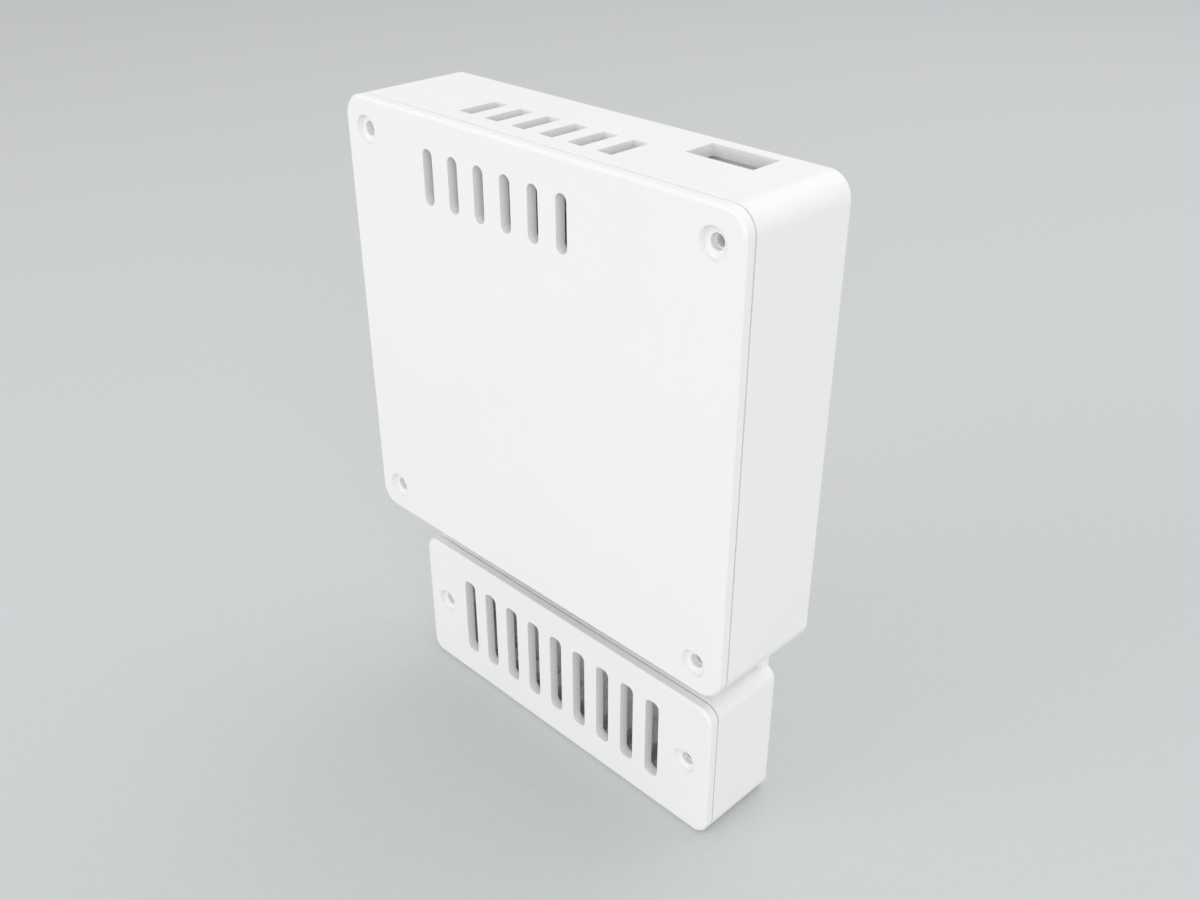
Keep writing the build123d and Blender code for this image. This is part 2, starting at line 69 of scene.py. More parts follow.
# How many flats a rod, a round corner, a slot's corner and a softened edge have
ROD_SIDES = 48
ROUND_STEPS = 14
SLOT_STEPS = 8
SOFT_STEPS = 3

# What is shaded smooth, and what counts as one plane
SMOOTH_ANGLE = math.radians(36)
FLAT_ANGLE = math.radians(0.3)

# A unit vector's share along an axis where it runs along it, faces that way, or lies across it
ALONG = 0.999
FACING = 0.9
ACROSS = 0.01

# Where a Mix node takes its two colours, and where it gives the mixed one
FIRST = 6
SECOND = 7
MIXED = 2

# A place is X and Z, a box is its lowest and highest corner, and a test takes a middle and a way
Place = tuple[float, float]
Box = tuple[Vector, Vector]
Test = Callable[[Vector, Vector], bool]
Colour = tuple[float, float, float, float]
Tree = bpy.types.NodeTree
Node = bpy.types.Node
Socket = bpy.types.NodeSocket


def srgb(code: str) -> Colour:
    """Turns an sRGB hex colour to the linear values that a shader takes.

    Args:
        code: Six hex digits, with or without a leading hash.

    Returns:
        Red, green, blue and an alpha of 1.
    """
    parts = [int(code.lstrip("#")[i : i + 2], 16) / 255 for i in (0, 2, 4)]
    return (*(p / 12.92 if p <= 0.04045 else ((p + 0.055) / 1.055) ** 2.4 for p in parts), 1.0)


def grey(value: float) -> Colour:
    """A grey of that linear value."""
    return (value, value, value, 1.0)


def row(count: int, pitch: float, centre: float = 0.0) -> list[float]:
    """Places of count items in a row, pitch apart, about the centre."""
    return [centre + (i - (count - 1) / 2) * pitch for i in range(count)]


def box_of(node: str) -> Box:
    """Lowest and highest corner of a node, in millimetres."""
    low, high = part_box(node)
    return low / MM, high / MM


def add_node(tree: Tree, kind: str, settings: dict | None = None, links: dict | None = None) -> Node:
    """Adds a shader node with its settings and links.

    Args:
        tree: The node tree that the node joins.
        kind: The node's type, without the ShaderNode in front.
        settings: Values by property name, or by the name or index of an input socket.
        links: Output sockets by the name or index of the input that they feed.

    Returns:
        The new node.
    """
    node = tree.nodes.new("ShaderNode" + kind)
    for name, value in (settings or {}).items():
        if isinstance(name, str) and hasattr(node, name):
            setattr(node, name, value)
        else:
            node.inputs[name].default_value = value
    for name, socket in (links or {}).items():
        tree.links.new(socket, node.inputs[name])
    return node


def set_stops(ramp: Node, starts: Sequence[float], colours: Sequence[Colour]) -> None:
    """Gives a colour ramp its stops, with a hard step at each.

    Args:
        ramp: A colour ramp node.
        starts: Where each colour starts, from 0 to 1, in rising order.
        colours: The colours.
    """
    ramp.color_ramp.interpolation = "CONSTANT"
    elements = ramp.color_ramp.elements
    elements.remove(elements[-1])
    elements[0].position, elements[0].color = starts[0], colours[0]
    for position, colour in zip(starts[1:], colours[1:]):
        elements.new(position).color = colour


class Axis(Enum):
    """The three directions of the frame, as indices."""

    X = 0
    Y = 1
    Z = 2


class Pick(Enum):
    """What is selected in edit mode."""

    EDGES = "EDGE"
    FACES = "FACE"


class Combine(Enum):
    """How one shape is combined with others."""

    JOIN = "UNION"
    CUT = "DIFFERENCE"


class Solver(Enum):
    """How shapes are cut against each other: exactly, or as closed bodies that must stay closed."""

    EXACT = "EXACT"
    CLOSED = "MANIFOLD"


@dataclass(frozen=True)
class Finish(ABC):
    """A surface finish, made into one material that its pieces share."""

    name: str

    @abstractmethod
    def shade(self, tree: Tree, place: Socket) -> Node:
        """Builds the finish's nodes.

        Args:
            tree: The material's node tree.
            place: The object coordinates, in metres.

        Returns:
            The shader node at the end of the finish.
        """

    def material(self) -> bpy.types.Material:
        """Makes the material, or finds it if it is made already.

        Returns:
            The material of this finish.
        """
        found = bpy.data.materials.get(self.name)
        if found:
            return found
        made = bpy.data.materials.new(self.name)
        made.use_nodes = True
        tree = made.node_tree
        tree.nodes.clear()
        place = add_node(tree, "TexCoord").outputs["Object"]
        add_node(tree, "OutputMaterial", links={"Surface": self.shade(tree, place).outputs[0]})
        return made


@dataclass(frozen=True)
class Grained(Finish):
    """A surface that drifts between two close colours, under a grain that dulls and lifts it."""

    colour: str
    second_colour: str
    roughness: float
    roughness_spread: float
    grain_depth: float

    def surface(self, tree: Tree, tint: Socket, grain: Socket, settings: dict) -> Node:
        """Builds the surface from its two patterns.

        Args:
            tree: The material's node tree.
            tint: The pattern that mixes the colours.
            grain: The pattern of the roughness and the height.
            settings: The shader's further settings.

        Returns:
            The shader node.
        """
        colour = add_node(tree, "Mix", {"data_type": "RGBA", FIRST: srgb(self.second_colour),
                                        SECOND: srgb(self.colour)}, {0: tint})
        dull = add_node(tree, "MapRange", {"To Min": self.roughness - self.roughness_spread,
                                           "To Max": self.roughness + self.roughness_spread},
                        {"Value": grain})
        bump = add_node(tree, "Bump", {"Distance": self.grain_depth * MM}, {"Height": grain})
        return add_node(tree, "BsdfPrincipled", settings,
                        {"Base Color": colour.outputs[MIXED], "Roughness": dull.outputs["Result"],
                         "Normal": bump.outputs["Normal"]})


@dataclass(frozen=True)
class SatinPlastic(Grained):
    """Plastic of an even colour under a fine grain, as sintering or a spark-eroded mould leaves it.

    The grain softens the highlights and shows as a faint tooth close up. The colour drifts a little
    over a few centimetres, so that a large face isn't dead flat.
    """

    roughness_spread: float = 0.08
    grain_depth: float = 0.01
    grain: float = 0.3
    grain_detail: float = 3.0
    grain_contrast: float = 0.6
    cloud: float = 35.0
    ior: float = 1.5

    def shade(self, tree: Tree, place: Socket) -> Node:
        """Builds clouds of two close colours, and a grain in roughness and bump.

        Args:
            tree: The material's node tree.
            place: The object coordinates.

        Returns:
            The shader node.
        """
        clouds = add_node(tree, "TexNoise", {"Scale": 1 / (self.cloud * MM)}, {"Vector": place})
        grain = add_node(tree, "TexNoise", {"Scale": 1 / (self.grain * MM), "Detail": self.grain_detail,
                                            "Roughness": self.grain_contrast}, {"Vector": place})
        return self.surface(tree, clouds.outputs["Fac"], grain.outputs["Fac"], {"IOR": self.ior})


@dataclass(frozen=True)
class DrawnMetal(Grained):
    """Plated or bare metal, drawn, rolled or extruded: its fine marks run along one axis.

    The marks stretch the highlights across themselves and keep the metal from looking like chrome.
    """

    roughness: float = 0.28
    roughness_spread: float = 0.1
    grain_depth: float = 0.004
    mark: float = 0.12
    stretch: float = 14.0
    along: Axis = Axis.X

    def shade(self, tree: Tree, place: Socket) -> Node:
        """Builds drawn-out marks that change the colour, the roughness and the surface.

        Args:
            tree: The material's node tree.
            place: The object coordinates.

        Returns:
            The shader node.
        """
        scale = [1.0, 1.0, 1.0]
        scale[self.along.value] = 1 / self.stretch
        drawn = add_node(tree, "Mapping", {"Scale": scale}, {"Vector": place}).outputs[0]
        marks = add_node(tree, "TexNoise", {"Scale": 1 / (self.mark * MM)}, {"Vector": drawn}).outputs
        return self.surface(tree, marks["Fac"], marks["Fac"], {"Metallic": 1.0})


@dataclass(frozen=True)
class CircuitBoard(Finish):
    """Glass-filled laminate under green solder mask, with copper tracks and tinned rings round its holes.

    The tracks stand a little proud and show lighter through the mask, and the sawn edges show the
    bare, straw-coloured laminate.
    """

    middle: Place
    hole: Place
    ring_radius: float = 3.3
    mask: str = "#125B38"
    track: str = "#1F7A4C"
    laminate: str = "#B7A56A"
    tin: str = "#C9C8C2"
    track_width: float = 0.35
    track_edge: float = 0.3
    track_pitch: float = 2.54
    run: float = 15.24
    run_shift: float = 0.37
    run_rows: int = 3
    copper_height: float = 0.05
    copper_strength: float = 0.6
    weave: float = 0.4
    roughness: tuple[float, float] = (0.24, 0.4)
    ior: float = 1.55

    def shade(self, tree: Tree, place: Socket) -> Node:
        """Builds tracks under the mask, rings round the holes, and bare laminate at the cut edges.

        Args:
            tree: The material's node tree.
            place: The object coordinates.

        Returns:
            The shader node.
        """
        seen = add_node(tree, "SeparateXYZ", links={0: place}).outputs
        flat = add_node(tree, "CombineXYZ", links={0: seen["X"], 1: seen["Z"]}).outputs[0]
        tracks = add_node(tree, "TexBrick", {
            "Scale": 1 / MM, "Brick Width": self.run, "Row Height": self.track_pitch,
            "Mortar Size": self.track_width / 2, "Mortar Smooth": self.track_edge,
            "Color1": grey(0.0), "Color2": grey(0.0), "Mortar": grey(1.0),
            "offset": self.run_shift, "offset_frequency": self.run_rows,
        }, {"Vector": flat}).outputs["Color"]
        green = add_node(tree, "Mix", {"data_type": "RGBA", FIRST: srgb(self.mask),
                                       SECOND: srgb(self.track)}, {0: tracks})
        ring = self.rings(tree, flat)
        faced = add_node(tree, "Mix", {"data_type": "RGBA", SECOND: srgb(self.tin)},
                         {0: ring, FIRST: green.outputs[MIXED]})
        normal = add_node(tree, "TexCoord").outputs["Normal"]
        facing = add_node(tree, "SeparateXYZ", links={0: normal}).outputs["Y"]
        flatness = add_node(tree, "Math", {"operation": "ABSOLUTE"}, {0: facing}).outputs[0]
        sawn = add_node(tree, "Math", {"operation": "LESS_THAN", 1: 0.5}, {0: flatness}).outputs[0]
        colour = add_node(tree, "Mix", {"data_type": "RGBA", SECOND: srgb(self.laminate)},
                          {0: sawn, FIRST: faced.outputs[MIXED]})
        weave = add_node(tree, "TexNoise", {"Scale": 1 / (self.weave * MM)}, {"Vector": place})
        smoothest, dullest = self.roughness
        dull = add_node(tree, "MapRange", {"To Min": smoothest, "To Max": dullest},
                        {"Value": weave.outputs["Fac"]})
        bump = add_node(tree, "Bump", {"Strength": self.copper_strength,
                                       "Distance": self.copper_height * MM}, {"Height": tracks})
        return add_node(tree, "BsdfPrincipled", {"IOR": self.ior},
                        {"Base Color": colour.outputs[MIXED], "Metallic": ring,
                         "Roughness": dull.outputs["Result"], "Normal": bump.outputs["Normal"]})

    def rings(self, tree: Tree, flat: Socket) -> Socket:
        """Marks the rings round the screw holes, which lie alike on both sides of the middle.

        Args:
            tree: The material's node tree.
            flat: X and Z of the place, in metres.

        Returns:
            A socket that is 1 inside a ring.
        """
        middle, hole = ([x * MM, z * MM, 0.0] for x, z in (self.middle, self.hole))
        centred = add_node(tree, "VectorMath", {"operation": "SUBTRACT", 1: middle}, {0: flat})
        folded = add_node(tree, "VectorMath", {"operation": "ABSOLUTE"}, {0: centred.outputs[0]})
        away = add_node(tree, "VectorMath", {"operation": "DISTANCE", 1: hole}, {0: folded.outputs[0]})
        return add_node(tree, "Math", {"operation": "LESS_THAN", 1: self.ring_radius * MM},
                        {0: away.outputs["Value"]}).outputs[0]


@dataclass(frozen=True)
class Band:
    """One stretch of a banded piece, from its start along the axis to the next band."""

    start: float
    colour: str
    metallic: float = 0.0
    roughness: float = 0.4


@dataclass(frozen=True)
class Banded(Finish):
    """A component whose leads, body and marks are one solid, told apart by their place on an axis.

    Its black parts are moulded epoxy, with a dull skin, and its bright parts are tinned copper.
    """

    bands: tuple[Band, ...]
    along: Axis = Axis.X
    grain: float = 0.25
    grain_depth: float = 0.006
    ior: float = 1.5

    def shade(self, tree: Tree, place: Socket) -> Node:
        """Builds one ramp for the colour and one for metal and roughness, over a fine grain.

        Args:
            tree: The material's node tree.
            place: The object coordinates.

        Returns:
            The shader node.
        """
        low, high = self.bands[0].start, self.bands[-1].start + OVERSHOOT
        parts = add_node(tree, "SeparateXYZ", links={0: place})
        share = add_node(tree, "MapRange", {"From Min": low * MM, "From Max": high * MM},
                         {"Value": parts.outputs[self.along.value]})
        colour = add_node(tree, "ValToRGB", links={"Fac": share.outputs["Result"]})
        nature = add_node(tree, "ValToRGB", links={"Fac": share.outputs["Result"]})
        starts = [(band.start - low) / (high - low) for band in self.bands]
        set_stops(colour, starts, [srgb(band.colour) for band in self.bands])
        set_stops(nature, starts, [(band.metallic, band.roughness, 0.0, 1.0) for band in self.bands])
        split = add_node(tree, "SeparateColor", links={0: nature.outputs["Color"]})
        grain = add_node(tree, "TexNoise", {"Scale": 1 / (self.grain * MM)}, {"Vector": place})
        bump = add_node(tree, "Bump", {"Distance": self.grain_depth * MM}, {"Height": grain.outputs["Fac"]})
        return add_node(tree, "BsdfPrincipled", {"IOR": self.ior},
                        {"Base Color": colour.outputs["Color"], "Metallic": split.outputs["Red"],
                         "Roughness": split.outputs["Green"], "Normal": bump.outputs["Normal"]})


@dataclass(frozen=True)
class StudioPaper(Finish):
    """Seamless background paper, calendered and matt: it takes a soft shadow and has no highlight."""

    colour: str = "#CCCECF"
    mottle: str = "#C7C9CB"
    fibre: float = 2.5
    fibre_detail: float = 3.0
    roughness: float = 0.95
    gloss: float = 0.1

    def shade(self, tree: Tree, place: Socket) -> Node:
        """Builds a matt surface with two close greys in soft fibres.

        Args:
            tree: The material's node tree.
            place: The object coordinates.

        Returns:
            The shader node.
        """
        fibres = add_node(tree, "TexNoise", {"Scale": 1 / (self.fibre * MM), "Detail": self.fibre_detail},
                          {"Vector": place})
        colour = add_node(tree, "Mix", {"data_type": "RGBA", FIRST: srgb(self.mottle),
                                        SECOND: srgb(self.colour)}, {0: fibres.outputs["Fac"]})
        return add_node(tree, "BsdfPrincipled",
                        {"Roughness": self.roughness, "Specular IOR Level": self.gloss},
                        {"Base Color": colour.outputs[MIXED]})


def make_active(*bodies: bpy.types.Object) -> None:
    """Selects these objects alone, and makes the first one active.

    Args:
        bodies: The objects that the next operator works on.
    """
    bpy.ops.object.select_all(action="DESELECT")
    for body in bodies:
        body.select_set(True)
    bpy.context.view_layer.objects.active = bodies[0]


def snap(body: bpy.types.Object) -> None:
    """Puts the corners on a very fine grid, so that faces meant for one plane lie exactly in it."""
    for corner in body.data.vertices:
        corner.co = [round(v / MM, CORNER_DECIMALS) * MM for v in corner.co]


@contextmanager
def editing(body: bpy.types.Object) -> Iterator[None]:
    """Opens one object in edit mode, and leaves edit mode at the end.

    Args:
        body: The mesh object that is edited.
    """
    make_active(body)
    bpy.ops.object.mode_set(mode="EDIT")
    try:
        yield
    finally:
        bpy.ops.object.mode_set(mode="OBJECT")


class Piece:
    """One mesh on the bench, shaped by operators. Its lengths are millimetres."""

    def __init__(self, name: str) -> None:
        """Takes the object that was just added, and puts its place and size into its mesh.

        Args:
            name: The name that it gets.
        """
        self.body = bpy.context.active_object
        self.body.name = name
        self.body.data.name = name
        bpy.ops.object.transform_apply(location=True, rotation=True, scale=True)

    @classmethod
    def block(cls, name: str, low: Sequence[float], high: Sequence[float]) -> Self:
        """Starts from a block.

        Args:
            name: The piece's name.
            low: Its lowest corner.
            high: Its highest corner.

        Returns:
            The block.
        """
        low, high = Vector(low) * MM, Vector(high) * MM
        bpy.ops.mesh.primitive_cube_add(size=1, location=(low + high) / 2, scale=high - low)
        return cls(name)

    @classmethod
    def rod(cls, name: str, radius: float, near_y: float, far_y: float, place: Place) -> Self:
        """Starts from a round bar along Y.

        Args:
            name: The piece's name.
            radius: The bar's radius.
            near_y: The Y of its front end.
            far_y: The Y of its back end.
            place: The X and Z of its axis.

        Returns:
            The bar.
        """
        centre = Vector((place[0], (near_y + far_y) / 2, place[1])) * MM
        bpy.ops.mesh.primitive_cylinder_add(vertices=ROD_SIDES, radius=radius * MM, location=centre,
                                            depth=(far_y - near_y) * MM, rotation=(math.pi / 2, 0, 0))
        return cls(name)

    def repeat(self, places: Sequence[Place]) -> list[Self]:
        """Copies the piece along X and Z, each copy with a mesh of its own.

        Args:
            places: The piece's own place, then those of its copies.

        Returns:
            This piece and its copies.
        """
        (own_x, own_z), *others = places
        made = [self]
        for x, z in others:
            make_active(self.body)
            bpy.ops.object.duplicate(linked=False)
            bpy.ops.transform.translate(value=Vector((x - own_x, 0, z - own_z)) * MM)
            made.append(type(self)(self.body.name))
        return made

    def select(self, pick: Pick, test: Test, sharp: bool = False) -> None:
        """Selects, in edit mode, the edges or faces that pass a test.

        Args:
            pick: Whether edges or faces are selected.
            test: Takes the middle, and the direction of the edge or the normal of the face.
            sharp: Whether an edge must also be sharp and stand out.
        """
        bpy.ops.mesh.select_mode(type=pick.value)
        bpy.ops.mesh.select_all(action="DESELECT")
        shape = bmesh.from_edit_mesh(self.body.data)
        shape.normal_update()
        for item in shape.edges if pick is Pick.EDGES else shape.faces:
            if sharp and not (item.is_convex and item.calc_face_angle(0.0) > SMOOTH_ANGLE):
                continue
            corners = [v.co / MM for v in item.verts]
            way = item.normal if pick is Pick.FACES else (corners[1] - corners[0]).normalized()
            if test(sum(corners, Vector()) / len(corners), way):
                item.select_set(True)
        bmesh.update_edit_mesh(self.body.data)

    def round_edges(self, radius: float, test: Test, steps: int = ROUND_STEPS,
                    sharp: bool = False) -> None:
        """Rounds the edges that pass a test, or chamfers them in one step.

        Args:
            radius: How far the rounding reaches.
            test: Picks the edges.
            steps: How many flats it has.
            sharp: Whether only sharp edges that stand out are rounded.
        """
        with editing(self.body):
            self.select(Pick.EDGES, test, sharp)
            bpy.ops.mesh.bevel(offset=radius * MM, segments=steps, affect="EDGES")

    def carry(self, border: float, depth: float, test: Test) -> None:
        """Insets the faces that pass a test and carries their middle along Y.

        Args:
            border: How wide a border stays.
            depth: How far the middle moves along +Y.
            test: Picks the faces.
        """
        with editing(self.body):
            self.select(Pick.FACES, test)
            bpy.ops.mesh.inset(thickness=border * MM)
            bpy.ops.mesh.extrude_region_move(TRANSFORM_OT_translate={"value": (0, depth * MM, 0)})

    def combine(self, how: Combine, tools: Sequence["Piece"],
                solver: Solver = Solver.CLOSED) -> None:
        """Joins other shapes to this one, or cuts them out of it.

        Args:
            how: Whether they are joined or cut.
            tools: The other shapes, which are used up.
            solver: How the shapes are worked out against each other.
        """
        make_active(*(tool.body for tool in tools))
        if len(tools) > 1:
            bpy.ops.object.join()
        tool = bpy.context.active_object
        snap(self.body)
        snap(tool)
        make_active(self.body)
        modifier = self.body.modifiers.new(how.name.lower(), "BOOLEAN")
        modifier.operation = how.value
        modifier.solver = solver.value
        modifier.object = tool
        bpy.ops.object.modifier_apply(modifier=modifier.name)
        bpy.data.objects.remove(tool)

    def tidy(self) -> None:
        """Merges doubled corners, joins faces that lie in one plane, and turns all faces outwards."""
        with editing(self.body):
            bpy.ops.mesh.select_all(action="SELECT")
            bpy.ops.mesh.remove_doubles(threshold=MERGE * MM)
            bpy.ops.mesh.dissolve_limited(angle_limit=FLAT_ANGLE)
            bpy.ops.mesh.select_all(action="SELECT")
            bpy.ops.mesh.delete_loose()
            bpy.ops.mesh.select_all(action="SELECT")
            bpy.ops.mesh.normals_make_consistent(inside=False)

    def soften(self, radius: float, test: Test = lambda middle, way: True) -> None:
        """Gives the sharp edges that stand out and pass a test a small rounding."""
        self.round_edges(radius, test, SOFT_STEPS, sharp=True)

    def shade(self) -> None:
        """Shades flats flat and rounds smooth."""
        make_active(self.body)
        bpy.ops.object.shade_smooth_by_angle(angle=SMOOTH_ANGLE)
        flats = self.body.modifiers.new("flat_faces", "WEIGHTED_NORMAL")
        flats.keep_sharp = True
        bpy.ops.object.modifier_apply(modifier=flats.name)

    def dress(self, finish: Finish, slot: str, *nodes: str) -> None:
        """Gives the piece its finish, and puts it in the place of the nodes that it stands for.

        Args:
            finish: The surface finish.
            slot: The record's material slot; not used.
            nodes: The nodes that it stands for.
        """
        self.body.data.materials.clear()
        self.body.data.materials.append(finish.material())
        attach(self.body, "root")
        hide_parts(*nodes)
        log.info("%s: %d faces, stands for %s", self.body.name, len(self.body.data.polygons),
                 ", ".join(nodes))


def along(axis: Axis) -> Test:
    """A test for edges that run along an axis."""
    return lambda middle, way: abs(way[axis.value]) > ALONG


def edge_at(axis: Axis, place: float) -> Test:
    """A test for edges that lie across an axis, at that place on it."""
    return lambda middle, way: (abs(middle[axis.value] - place) < TOUCH
                                and abs(way[axis.value]) < ACROSS)


def front_at(y: float) -> Test:
    """A test for faces that look forwards at that place."""
    return lambda middle, way: abs(middle.y - y) < TOUCH and way.y < -FACING


@dataclass(frozen=True)
class CaseSizes:
    """The sizes that the shell and its two covers share."""

    wall: float = 2.5
    main_corner: float = 5.0
    lower_corner: float = 3.5
    front_chamfer: float = 0.6
    root: float = 0.25
    seam_gap: float = 0.4
    seam_depth: float = 0.8
    soft_edge: float = 0.08
    screw_inset: float = 7.0
    lower_screw_height: float = 19.0
    slot_pitch: float = 8.0
    lower_slot_count: int = 9

    def main_screws(self, low: Vector, high: Vector) -> list[Place]:
        """Places of the main cover's screws, from the cover's corners."""
        return [(x, z) for x in (low.x + self.screw_inset, high.x - self.screw_inset)
                for z in (low.z + self.screw_inset, high.z - self.screw_inset)]

    def lower_screws(self, low: Vector, high: Vector) -> list[Place]:
        """Places of the lower cover's screws, from the cover's corners."""
        return [(x, low.z + self.lower_screw_height)
                for x in (low.x + self.screw_inset, high.x - self.screw_inset)]


@dataclass(frozen=True)
class Slot:
    """The sizes of an upright air slot."""

    width: float
    length: float
    corner: float


@dataclass
class Cover:
    """A flat cover with a chamfered front, counterbored screw holes and a row of air slots."""

    sizes: CaseSizes
    node: str
    box: Box
    corner: float
    screws: list[Place]
    slot: Slot
    slots: list[Place]
    hole_radius: float = 1.6
    counterbore_radius: float = 3.1
    counterbore_depth: float = 1.2

    def build(self) -> Piece:
        """Models the cover from a plate.

        Returns:
            The cover, not dressed yet.
        """
        plate = Piece.block("case_" + self.node, *self.box)
        plate.round_edges(self.corner, along(Axis.Y))
        plate.round_edges(self.sizes.front_chamfer, edge_at(Axis.Y, self.box[0].y), 1)
        plate.combine(Combine.CUT, self.screw_holes() + self.air_slots(), Solver.EXACT)
        plate.tidy()
        plate.soften(self.sizes.soft_edge)
        plate.shade()
        return plate

    def screw_holes(self) -> list[Piece]:
        """Models the stepped shape that cuts a screw hole and its counterbore, and copies it.

        Returns:
            One cutter for each screw.
        """
        near_y, far_y = (corner.y for corner in self.box)
        floor_y = near_y + self.counterbore_depth
        bore = Piece.rod("bore", self.counterbore_radius, near_y - OVERSHOOT, floor_y, self.screws[0])
        bore.carry(self.counterbore_radius - self.hole_radius, far_y + OVERSHOOT - floor_y,
                   lambda middle, way: way.y > FACING)
        return bore.repeat(self.screws)

    def air_slots(self) -> list[Piece]:
        """Models the shape that cuts an air slot, and copies it along the row.

        Returns:
            One cutter for each slot.
        """
        near_y, far_y = (corner.y for corner in self.box)
        x, z = self.slots[0]
        low = (x - self.slot.width / 2, near_y - OVERSHOOT, z - self.slot.length / 2)
        high = (x + self.slot.width / 2, far_y + OVERSHOOT, z + self.slot.length / 2)
        cutter = Piece.block("slot", low, high)
        cutter.round_edges(self.slot.corner, along(Axis.Y), SLOT_STEPS)
        return cutter.repeat(self.slots)

    def dress(self, finish: Finish) -> None:
        """Builds the cover and gives it its finish."""
        self.build().dress(finish, "cover_plastic", self.node)


@dataclass
class RearShell:
    """Both trays, the plate between them, and all that is printed inside them."""

    sizes: CaseSizes
    main: Box
    lower: Box
    node: str = "rear_shell"
    bridge_width: float = 94.0
    bridge_root: float = 1.25
    pillar_radius: float = 4.0
    pilot_radius: float = 1.25
    pilot_depth: float = 12.0
    standoff_radius: float = 3.5
    standoff_pilot_depth: float = 3.9
    screw_head_radius: float = 2.8
    rib: tuple[float, float, float] = (10.0, 1.1, 2.7)
    roof_slot: tuple[float, float] = (4.0, 10.0)
    roof_slot_count: int = 6
    roof_slot_x: float = -4.0
    roof_slot_from_front: float = 12.35
    floor_slot: tuple[float, float] = (4.0, 10.0)
    entry: tuple[float, float] = (16.0, 8.0)
    entry_x: float = 34.15
    entry_from_back: float = 6.95
    wire_hole: tuple[float, float] = (12.0, 5.0)
    wire_hole_from_wall: float = 2.0

    @property
    def back_y(self) -> float:
        """The back of the back wall."""
        return box_of(self.node)[1].y

    @property
    def inner_back_y(self) -> float:
        """The front of the back wall."""
        return self.back_y - self.sizes.wall

    def tray(self, name: str, cover: Box, corner: float) -> Piece:
        """Models an open tray behind a cover: a rounded block, stepped at its rim and hollowed.

        Args:
            name: The piece's name.
            cover: The corners of the cover that closes it.
            corner: The radius of its upright corners.

        Returns:
            The tray.
        """
        sizes = self.sizes
        low, high = cover
        rim_y = high.y
        step_y = rim_y + sizes.seam_gap
        block = Piece.block(name, (low.x, step_y, low.z), (high.x, self.back_y, high.z))
        block.round_edges(corner, along(Axis.Y))
        block.carry(sizes.seam_depth, -sizes.seam_gap, front_at(step_y))
        block.carry(sizes.wall - sizes.seam_depth, self.inner_back_y - rim_y, front_at(rim_y))
        return block

    def pillars(self, cover: Box, screws: list[Place], in_corners: bool) -> list[Piece]:
        """Models screw pillars that run into the walls beside them.

        Args:
            cover: The corners of the cover that they carry.
            screws: Their places, in X and Z.
            in_corners: Whether they run into the roof or floor as well as the side.

        Returns:
            The pillars.
        """
        low, high = cover
        root, radius = self.sizes.root, self.pillar_radius
        inset = self.sizes.wall - root
        middle = (low + high) / 2
        made = []
        for x, z in screws:
            side = math.copysign(1, x - middle.x)
            up = math.copysign(1, z - middle.z)
            inner_x, outer_x = x - side * radius, (high.x - inset if side > 0 else low.x + inset)
            inner_z, outer_z = z - up * radius, z + up * radius
            if in_corners:
                outer_z = high.z - inset if up > 0 else low.z + inset
            block = Piece.block(
                "pillar", (min(inner_x, outer_x), high.y, min(inner_z, outer_z)),
                (max(inner_x, outer_x), self.inner_back_y + root, max(inner_z, outer_z)),
            )
            free_z = [inner_z] if in_corners else [inner_z, outer_z]
            block.round_edges(radius - TOUCH, self.corner_test(inner_x, free_z))
            made.append(block)
        return made

    def corner_test(self, inner_x: float, free_z: list[float]) -> Test:
        """A test for a pillar's edges along Y, on its free side at these heights."""
        upright = along(Axis.Y)
        return lambda middle, way: (upright(middle, way) and abs(middle.x - inner_x) < TOUCH
                                    and any(abs(middle.z - z) < TOUCH for z in free_z))

    def standoffs(self, screws_node: str, board_node: str) -> tuple[list[Piece], list[Piece]]:
        """Models the standoffs of a board, and the shapes that cut their pilot holes.

        Args:
            screws_node: The node of the board's screws, which gives the holes' places.
            board_node: The node of the board, which gives the standoffs' height.

        Returns:
            The standoffs, and the cutters.
        """
        low, high = box_of(screws_node)
        head = self.screw_head_radius
        near_y, root_y = box_of(board_node)[1].y, self.inner_back_y + self.sizes.root
        # Screws in one row give each place twice, and the set keeps one
        places = sorted({(round(x, SCREW_DECIMALS), round(z, SCREW_DECIMALS))
                         for x in (low.x + head, high.x - head) for z in (low.z + head, high.z - head)})
        post = Piece.rod("standoff", self.standoff_radius, near_y, root_y, places[0])
        return post.repeat(places), self.pilots(near_y, self.standoff_pilot_depth, places)

    def pilots(self, near_y: float, depth: float, places: list[Place]) -> list[Piece]:
        """Models the shape that cuts a screw's pilot hole, and copies it to each place."""
        hole = Piece.rod("pilot", self.pilot_radius, near_y - OVERSHOOT, near_y + depth, places[0])
        return hole.repeat(places)

    def through(self, size: tuple[float, float], y: float, places: list[Place]) -> list[Piece]:
        """Models a cutter that passes through a wall across Z, and copies it.

        Args:
            size: Its width in X and depth in Y.
            y: The openings' Y.
            places: The openings' X, and the Z of the wall's middle.

        Returns:
            One cutter for each opening.
        """
        x, z = places[0]
        half = Vector((size[0] / 2, size[1] / 2, self.sizes.wall))
        middle = Vector((x, y, z))
        return Piece.block("opening", middle - half, middle + half).repeat(places)

    def openings(self) -> list[Piece]:
        """Models the shapes that cut the roof slots, the entry, the floor slots and the wire holes.

        Returns:
            The cutters.
        """
        sizes = self.sizes
        main_low, main_high = self.main
        lower_low, lower_high = self.lower
        half_wall = sizes.wall / 2
        roof_z = main_high.z - half_wall
        roof_slots = [(x, roof_z) for x in row(self.roof_slot_count, sizes.slot_pitch, self.roof_slot_x)]
        made = self.through(self.roof_slot, main_low.y + self.roof_slot_from_front, roof_slots)
        made += self.through(self.entry, self.back_y - self.entry_from_back, [(self.entry_x, roof_z)])

